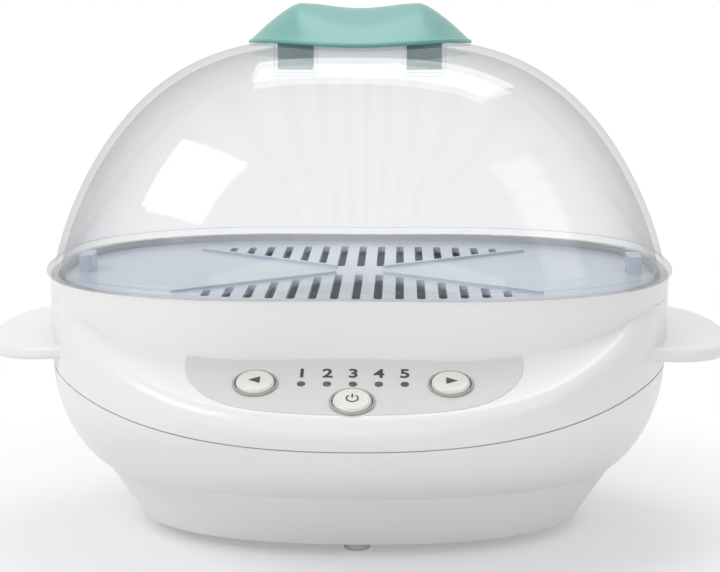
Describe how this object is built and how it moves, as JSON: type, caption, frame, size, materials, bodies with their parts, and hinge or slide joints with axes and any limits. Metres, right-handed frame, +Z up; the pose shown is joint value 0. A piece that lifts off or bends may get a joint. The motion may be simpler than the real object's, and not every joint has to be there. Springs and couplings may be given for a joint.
{
  "type": "steam sterilizer",
  "caption": "Compact countertop steam sterilizer with clear lift-off dome, slotted tray, heated water basin and push-button console.",
  "frame": {"origin": "centre of the footprint at the height the feet stand on", "axes": "+Z up, +X to the object's left-to-right as seen from the console, -Y towards the user"},
  "size_m": [0.2404, 0.1866, 0.1702],
  "materials": {
    "white_housing": "satin gloss",
    "panel_grey": "satin",
    "bezel_grey": "gloss",
    "dark_lens": "gloss",
    "circuit_board": "matte",
    "steel": "bare",
    "black_plastic": "matte",
    "basin_white": "satin",
    "silicone": "matte",
    "aluminium": "cast",
    "white_ceramic": "matte",
    "terminal_green": "matte",
    "foot_rubber": "matte",
    "brass": "bare",
    "clear_lid": "clear polished plastic",
    "teal_handle": "satin",
    "tray_blue": "satin",
    "button_pearl": "pearl"
  },
  "bodies": {
    "base": {"upper_housing": "white_housing", "lower_housing": "white_housing", "control_panel": "panel_grey", "button_bezels": "bezel_grey", "led_lenses": "dark_lens", "control_board": "circuit_board", "board_screws": "steel", "indicator_leds": "dark_lens", "tact_switches": "black_plastic", "water_basin": "basin_white", "basin_seal": "silicone", "heating_plate": "aluminium", "heating_element": "steel", "element_terminals": "steel", "thermostat": "steel", "thermal_fuse": "white_ceramic", "heater_bracket": "steel", "heater_screws": "steel", "housing_screws": "steel", "power_board": "circuit_board", "power_board_screws": "steel", "relay": "black_plastic", "terminal_block": "terminal_green", "power_capacitor": "black_plastic", "feet": "foot_rubber", "power_inlet": "black_plastic", "inlet_pins": "brass"},
    "tray": {"steam_tray": "tray_blue"},
    "lid": {"lid_dome": "clear_lid", "lid_handle": "teal_handle"},
    "button_left": {"button_left": "button_pearl", "plunger_left": "black_plastic"},
    "button_right": {"button_right": "button_pearl", "plunger_right": "black_plastic"},
    "button_power": {"button_power": "button_pearl", "plunger_power": "black_plastic"}
  },
  "joints": [
    {"name": "lid_lift", "type": "slide", "parent": "base", "child": "lid", "axis": [0, 0, 1], "range_m": [0, 0.15]},
    {"name": "tray_lift", "type": "slide", "parent": "base", "child": "tray", "axis": [0, 0, 1], "range_m": [0, 0.06]},
    {"name": "press_left", "type": "slide", "parent": "base", "child": "button_left", "axis": [0, 0.3746, -0.9272], "range_m": [0, 0.0007], "stiffness_N_per_m": 900},
    {"name": "press_right", "type": "slide", "parent": "base", "child": "button_right", "axis": [0, 0.3746, -0.9272], "range_m": [0, 0.0007], "stiffness_N_per_m": 900},
    {"name": "press_power", "type": "slide", "parent": "base", "child": "button_power", "axis": [0, 0.3746, -0.9272], "range_m": [0, 0.0007], "stiffness_N_per_m": 900}
  ],
  "couplings": [
    {"joint": "tray_lift", "follows": "lid_lift", "ratio": 0.4}
  ]
}
